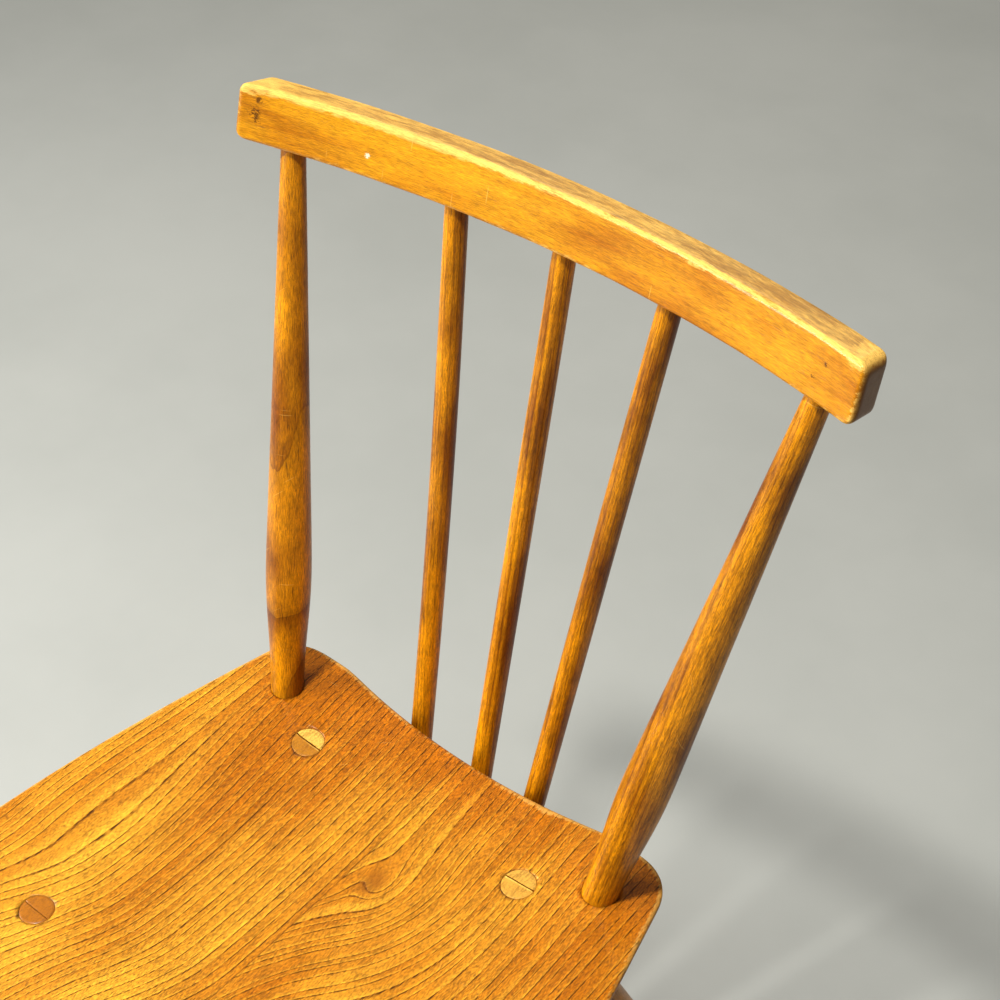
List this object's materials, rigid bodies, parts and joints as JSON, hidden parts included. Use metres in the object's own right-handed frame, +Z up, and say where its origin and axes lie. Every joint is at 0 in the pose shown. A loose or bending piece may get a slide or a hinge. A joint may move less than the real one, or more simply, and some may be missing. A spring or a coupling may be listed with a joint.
{
  "type": "dining chair",
  "caption": "Armless wooden dining chair with a dished solid seat, splayed turned legs, an H stretcher and a raked spindle back under a bent top rail.",
  "frame": {"origin": "on the floor, under the middle of the whole chair", "axes": "+Z up; the chair faces -Y, and its left and right halves mirror about the YZ plane"},
  "size_m": [0.392, 0.4284, 0.8006],
  "materials": {
    "seat_elm": "clear satin varnish over golden elm, open dark grain running front to back, worn along the edges",
    "rail_beech": "clear satin varnish over honey beech with short flecks, bare pale wear along the top edges and ends",
    "back_sticks": "gloss varnish over orange-brown beech with short dark flecks",
    "legs_beech": "gloss varnish over orange-brown beech with short dark flecks",
    "wedge_beech": "end grain, sanded flush and varnished"
  },
  "bodies": {
    "root": {"seat": "seat_elm", "leg_front_left": "legs_beech", "leg_front_right": "legs_beech", "leg_rear_left": "legs_beech", "leg_rear_right": "legs_beech", "leg_wedge_front_left": "wedge_beech", "leg_wedge_front_right": "wedge_beech", "leg_wedge_rear_left": "wedge_beech", "leg_wedge_rear_right": "wedge_beech", "side_stretcher_left": "legs_beech", "side_stretcher_right": "legs_beech", "cross_stretcher": "legs_beech", "post_left": "back_sticks", "post_right": "back_sticks", "post_wedge_left": "wedge_beech", "post_wedge_right": "wedge_beech", "spindle_left": "back_sticks", "spindle_middle": "back_sticks", "spindle_right": "back_sticks", "top_rail": "rail_beech"}
  },
  "joints": []
}
